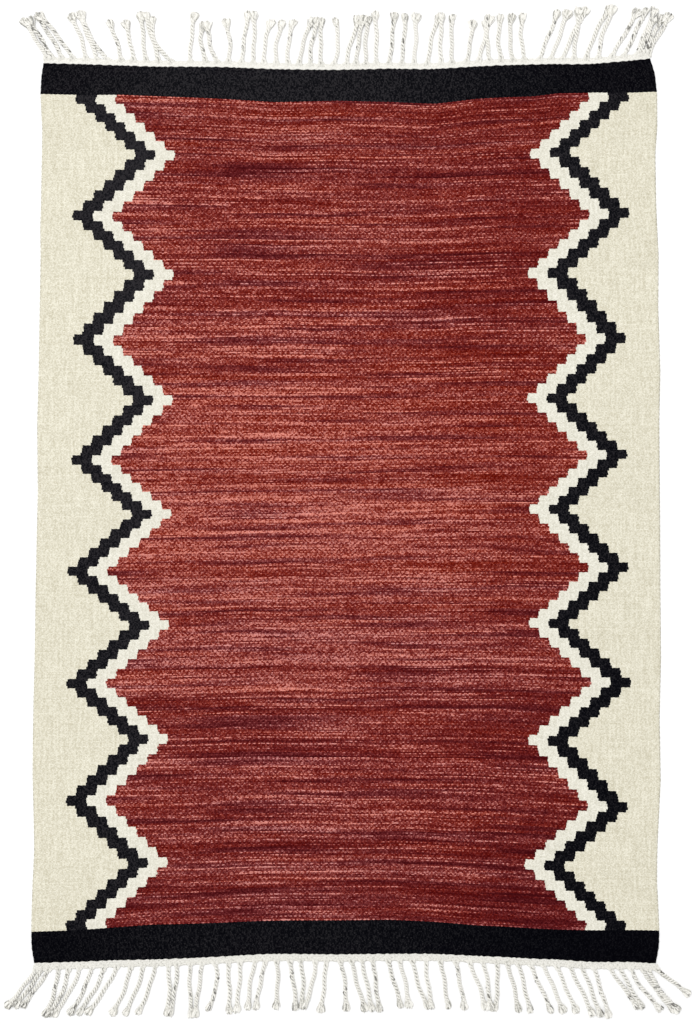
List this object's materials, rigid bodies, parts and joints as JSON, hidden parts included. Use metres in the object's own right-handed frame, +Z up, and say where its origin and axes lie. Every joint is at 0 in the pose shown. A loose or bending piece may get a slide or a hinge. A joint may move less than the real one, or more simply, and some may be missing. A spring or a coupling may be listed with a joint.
{
  "type": "kilim rug",
  "caption": "Flat-woven wool kilim lying flat, with black end bands, stepped zigzag side borders on cream, a streaked red field and a cord fringe at each end.",
  "frame": {"origin": "on the floor under the middle of the kilim's box, fringes included", "axes": "+X across the width to the picture's right, +Y along the length to the picture's top, +Z up from the floor"},
  "size_m": [1.5438, 2.2752, 0.006],
  "materials": {
    "woven_wool": "matte weft-faced wool weave: streaked red field, cream sides, black zigzags and end bands",
    "warp_cotton": "matte off-white plied cotton cord with open tufts"
  },
  "bodies": {
    "root": {"cloth": "woven_wool", "fringe_far": "warp_cotton", "fringe_near": "warp_cotton"}
  },
  "joints": []
}
